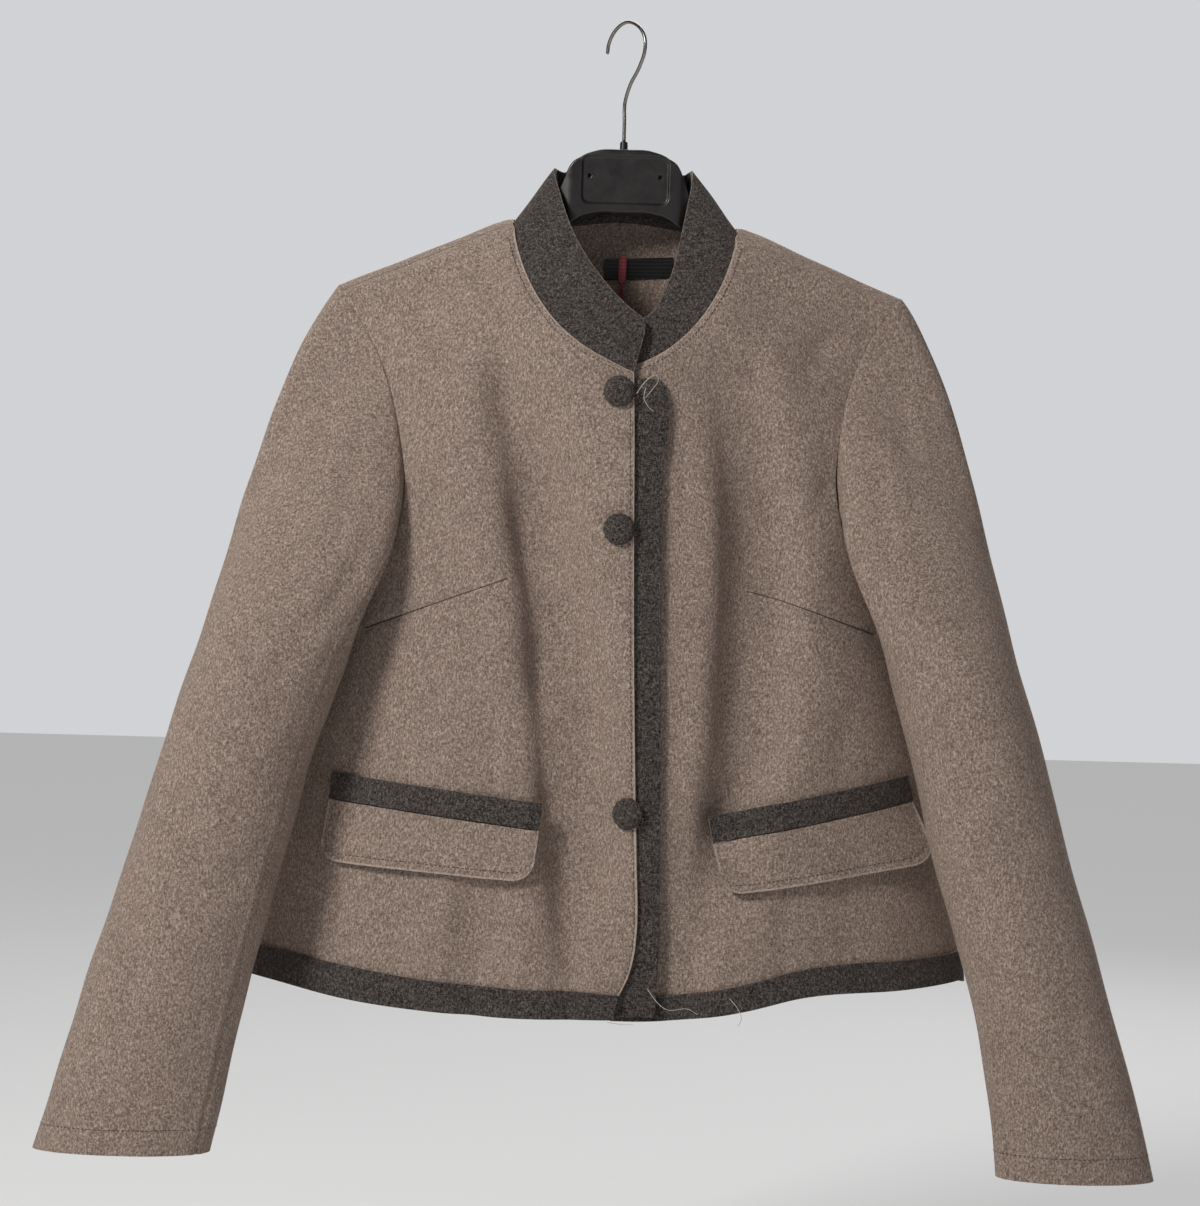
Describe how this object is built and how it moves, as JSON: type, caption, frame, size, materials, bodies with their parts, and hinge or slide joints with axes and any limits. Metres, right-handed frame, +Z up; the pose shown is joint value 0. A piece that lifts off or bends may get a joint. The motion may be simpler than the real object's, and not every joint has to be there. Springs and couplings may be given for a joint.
{
  "type": "short jacket on a clothes hanger",
  "caption": "Short boxy wool felt jacket with stand collar, charcoal trims, covered buttons and flap pockets, hanging on a moulded clothes hanger.",
  "frame": {"origin": "inner crest of the hanger's hook, where it rests on a rail", "axes": "+Z up along the hook, +X towards the wearer's left sleeve, -Y out of the jacket's front"},
  "size_m": [0.7776, 0.1804, 0.8112],
  "materials": {
    "back": "thick wool felt",
    "button_bottom": "charcoal wool felt",
    "button_middle": "charcoal wool felt",
    "button_top": "charcoal wool felt",
    "collar": "charcoal wool felt",
    "flap_left": "thick wool felt",
    "flap_right": "thick wool felt",
    "front_left": "thick wool felt",
    "front_right": "thick wool felt",
    "hanger_body": "moulded plastic",
    "hanger_ferrule": "moulded plastic",
    "hanger_hook": "plated steel wire",
    "hem_band_back": "charcoal wool felt",
    "hem_band_front_left": "charcoal wool felt",
    "hem_band_front_right": "charcoal wool felt",
    "neck_label": "woven satin label",
    "neck_ribbon": "narrow woven ribbon",
    "placket_band": "charcoal wool felt",
    "sleeve_under_left": "thick wool felt",
    "sleeve_under_right": "thick wool felt",
    "sleeve_upper_left": "thick wool felt",
    "sleeve_upper_right": "thick wool felt",
    "welt_left": "charcoal wool felt",
    "welt_right": "charcoal wool felt"
  },
  "bodies": {
    "root": {"back": "back", "button_bottom": "button_bottom", "button_middle": "button_middle", "button_top": "button_top", "collar": "collar", "flap_left": "flap_left", "flap_right": "flap_right", "front_left": "front_left", "front_right": "front_right", "hanger_body": "hanger_body", "hanger_ferrule": "hanger_ferrule", "hanger_hook": "hanger_hook", "hem_band_back": "hem_band_back", "hem_band_front_left": "hem_band_front_left", "hem_band_front_right": "hem_band_front_right", "neck_label": "neck_label", "neck_ribbon": "neck_ribbon", "placket_band": "placket_band", "sleeve_under_left": "sleeve_under_left", "sleeve_under_right": "sleeve_under_right", "sleeve_upper_left": "sleeve_upper_left", "sleeve_upper_right": "sleeve_upper_right", "welt_left": "welt_left", "welt_right": "welt_right"}
  },
  "joints": []
}
